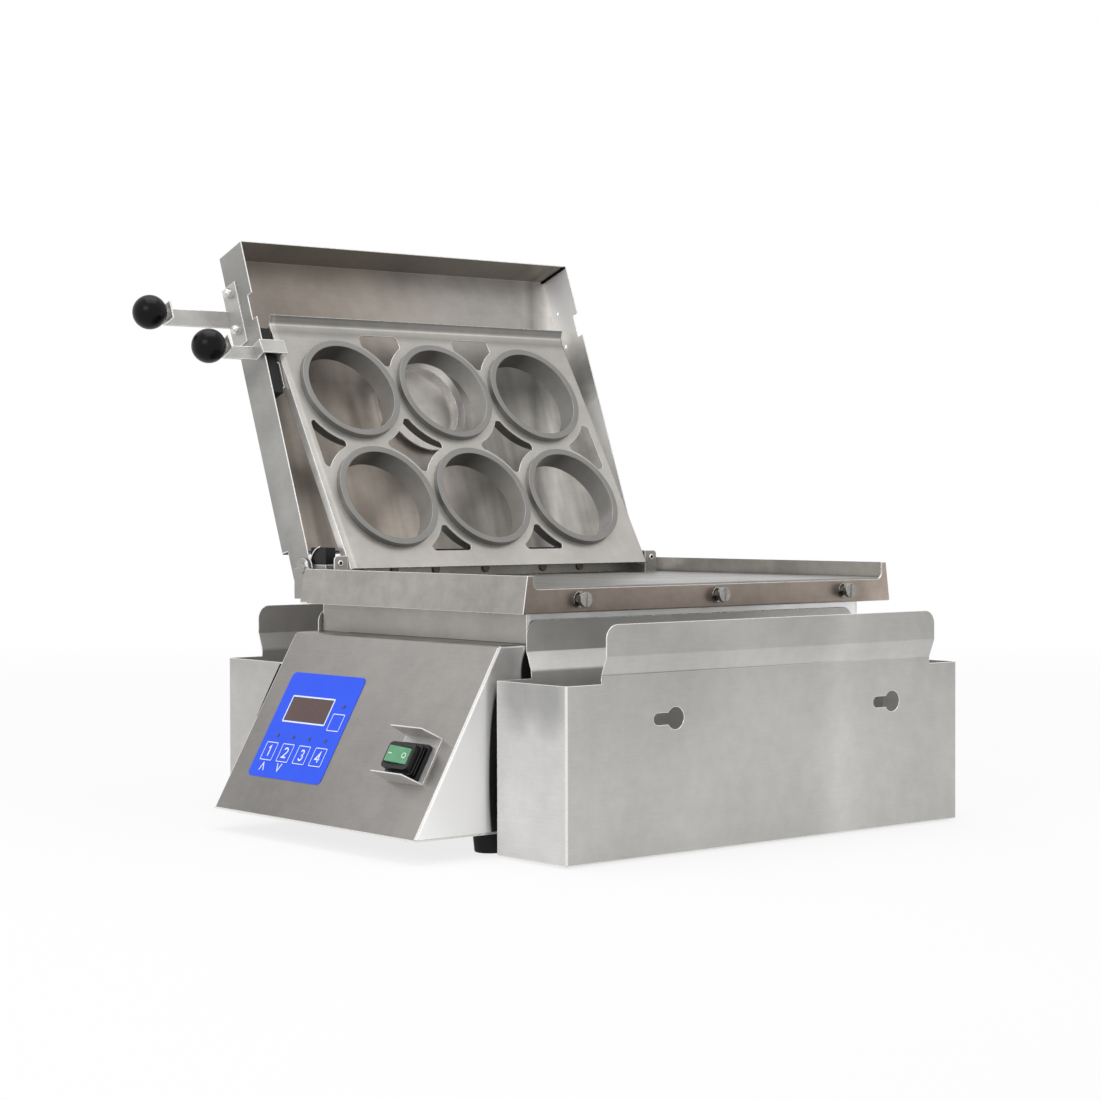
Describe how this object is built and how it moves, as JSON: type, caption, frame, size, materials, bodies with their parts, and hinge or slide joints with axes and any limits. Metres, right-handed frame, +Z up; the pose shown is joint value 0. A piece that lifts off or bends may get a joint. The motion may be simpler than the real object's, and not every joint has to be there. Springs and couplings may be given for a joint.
{
  "type": "egg cooker",
  "caption": "Countertop electric egg cooker with a sloped control box, hanging side pans, a hinged sheet cover and a hinged frame of round egg rings over a flat griddle.",
  "frame": {"origin": "centre of the underside of the front right foot, on the surface that the cooker stands on", "axes": "+X to the right of a person facing the control panel, +Y away from that person, +Z up"},
  "size_m": [0.6018, 0.5938, 0.5865],
  "materials": {
    "stainless": "brushed sheet",
    "ring_metal": "turned, dull",
    "griddle_steel": "ground plate",
    "bright_steel": "bright",
    "heater_sheath": "oxidised sheath",
    "knob_black": "polished",
    "plastic_black": "moulded",
    "boot_black": "ribbed",
    "rubber_black": "moulded",
    "insulation_cream": "ceramic fibre board",
    "board_green": "circuit board",
    "core_grey": "varnished",
    "plastic_cream": "moulded",
    "overlay_blue": "printed film",
    "window_dark": "tinted",
    "lamp_smoke": "smoked, unlit",
    "rocker_green": "translucent"
  },
  "bodies": {
    "base": {"housing_shell": "stainless", "base_plate": "stainless", "base_screws": "bright_steel", "rear_cover": "stainless", "power_inlet": "plastic_black", "foot_front_left": "rubber_black", "foot_front_right": "rubber_black", "foot_back_left": "rubber_black", "foot_back_right": "rubber_black", "griddle_frame": "stainless", "griddle_plate": "griddle_steel", "griddle_spacers": "bright_steel", "frame_stud_front": "bright_steel", "frame_stud_middle": "bright_steel", "frame_stud_back": "bright_steel", "hinge_rail": "stainless", "rail_screws": "bright_steel", "cover_ear_front": "stainless", "cover_ear_back": "stainless", "cover_pin_front": "bright_steel", "cover_pin_back": "bright_steel", "ring_bracket_front": "stainless", "ring_bracket_back": "stainless", "ring_pin_front": "bright_steel", "ring_pin_back": "bright_steel", "spring_box": "plastic_black", "spring_wire": "bright_steel", "pan_studs": "bright_steel", "heater": "heater_sheath", "temperature_probe": "bright_steel", "limit_thermostat": "plastic_black", "insulation": "insulation_cream", "control_board": "board_green", "transformer": "core_grey", "power_relay": "plastic_black", "terminal_block": "plastic_cream", "overlay": "overlay_blue", "display_window": "window_dark", "panel_leds": "lamp_smoke", "switch_boot": "boot_black", "switch_guard": "stainless"},
    "cover": {"cover_shell": "stainless", "cover_dish": "stainless", "cover_handle": "stainless", "cover_knob": "knob_black", "cover_nuts": "bright_steel", "catch_block": "plastic_black", "catch_leaf": "bright_steel"},
    "ring_frame": {"ring_plate": "stainless", "egg_ring_1": "ring_metal", "egg_ring_2": "ring_metal", "egg_ring_3": "ring_metal", "egg_ring_4": "ring_metal", "egg_ring_5": "ring_metal", "egg_ring_6": "ring_metal", "ring_handle": "stainless", "ring_knob": "knob_black"},
    "pan_right": {"pan_right": "stainless"},
    "pan_left": {"pan_left": "stainless"},
    "rocker": {"switch_rocker": "rocker_green"}
  },
  "joints": [
    {"name": "ring_frame_hinge", "type": "hinge", "parent": "base", "child": "ring_frame", "pos_m": [-0.2662, 0.2245, 0.2568], "axis": [0, 1, 0], "range_deg": [0, 120.3]},
    {"name": "cover_hinge", "type": "hinge", "parent": "base", "child": "cover", "pos_m": [-0.3049, 0.2285, 0.25015], "axis": [0, 1, 0], "range_deg": [0, 110.64]},
    {"name": "pan_right_slide", "type": "slide", "parent": "base", "child": "pan_right", "axis": [0, -1, 0], "range_m": [0, 0.021]},
    {"name": "pan_left_slide", "type": "slide", "parent": "base", "child": "pan_left", "axis": [0, -1, 0], "range_m": [0, 0.021]},
    {"name": "rocker_tilt", "type": "hinge", "parent": "base", "child": "rocker", "pos_m": [-0.023, -0.08068, 0.08859], "axis": [0, -0.4975, -0.8674], "range_deg": [0, 16]}
  ],
  "couplings": [
    {"joint": "cover_hinge", "follows": "ring_frame_hinge", "ratio": 0.9197}
  ]
}
